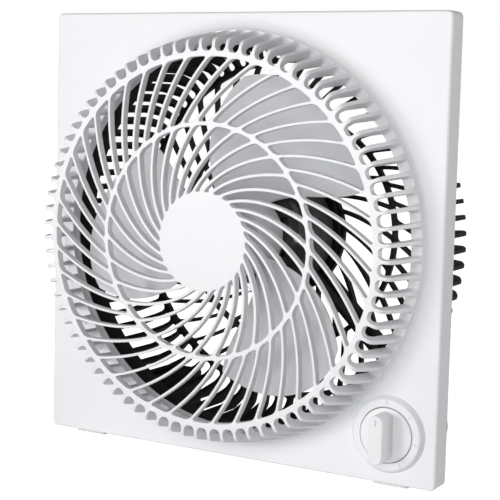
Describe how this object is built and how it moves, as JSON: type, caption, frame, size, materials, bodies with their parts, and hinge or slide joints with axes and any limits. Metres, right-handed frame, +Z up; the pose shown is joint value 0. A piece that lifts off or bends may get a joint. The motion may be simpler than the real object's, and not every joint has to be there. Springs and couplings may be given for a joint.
{
  "type": "box fan",
  "caption": "Square free-standing box fan with a raised round spiral grille, a rear guard, a grey impeller on an induction motor and a rotary speed knob.",
  "frame": {"origin": "on the floor, below the middle of the overall box", "axes": "+Z up, the grille faces -Y, +X to the right seen from above with the grille towards the viewer; the impeller turns about +Y"},
  "size_m": [0.3, 0.122, 0.302],
  "materials": {
    "white_cover": "smooth moulded white, semi-gloss",
    "black_guard": "moulded black, low sheen",
    "blade_grey": "moulded light grey, semi-gloss",
    "white_small": "moulded white",
    "bright_steel": "ground bright",
    "black_lacquer": "stoved black lacquer",
    "core_steel": "stacked laminations, dull",
    "cast_aluminium": "as cast",
    "washer_nylon": "natural nylon",
    "copper_wire": "enamelled copper",
    "zinc_steel": "zinc plated",
    "sintered_bronze": "sintered, oil soaked",
    "screw_steel": "zinc plated screws",
    "lead_sleeve": "black sleeving",
    "white_knob": "smooth moulded white, semi-gloss",
    "switch_body": "phenolic black",
    "black_cup": "moulded black",
    "capacitor_case": "moulded off-white",
    "cap_nylon": "natural nylon",
    "gland_rubber": "moulded rubber",
    "foot_rubber": "moulded rubber"
  },
  "bodies": {
    "housing": {"front_cover": "white_cover", "rear_guard": "black_guard", "stator_core": "black_lacquer", "windings": "copper_wire", "motor_front_cap": "black_lacquer", "motor_rear_cap": "black_lacquer", "front_bearing": "sintered_bronze", "rear_bearing": "sintered_bronze", "motor_bolts": "screw_steel", "motor_nuts": "screw_steel", "motor_lead": "lead_sleeve", "rotary_switch": "switch_body", "switch_nut": "zinc_steel", "switch_cover": "black_cup", "switch_cover_screws": "screw_steel", "capacitor": "capacitor_case", "wire_caps": "cap_nylon", "cord_gland": "gland_rubber", "cover_screws": "screw_steel", "front_feet": "foot_rubber", "rear_feet": "foot_rubber"},
    "rotor": {"impeller": "blade_grey", "blade_nut": "white_small", "motor_shaft": "bright_steel", "drive_pin": "bright_steel", "rotor_core": "core_steel", "rotor_cage": "cast_aluminium", "shaft_washers": "washer_nylon"},
    "dial": {"knob": "white_knob", "switch_shaft": "zinc_steel"}
  },
  "joints": [
    {"name": "impeller_spin", "type": "hinge", "parent": "housing", "child": "rotor", "pos_m": [0, 0, 0.152], "axis": [0, 1, 0], "continuous": true},
    {"name": "speed_turn", "type": "hinge", "parent": "housing", "child": "dial", "pos_m": [0.1173, -0.02, 0.0345], "axis": [0, 1, 0], "range_deg": [0, 150]}
  ]
}
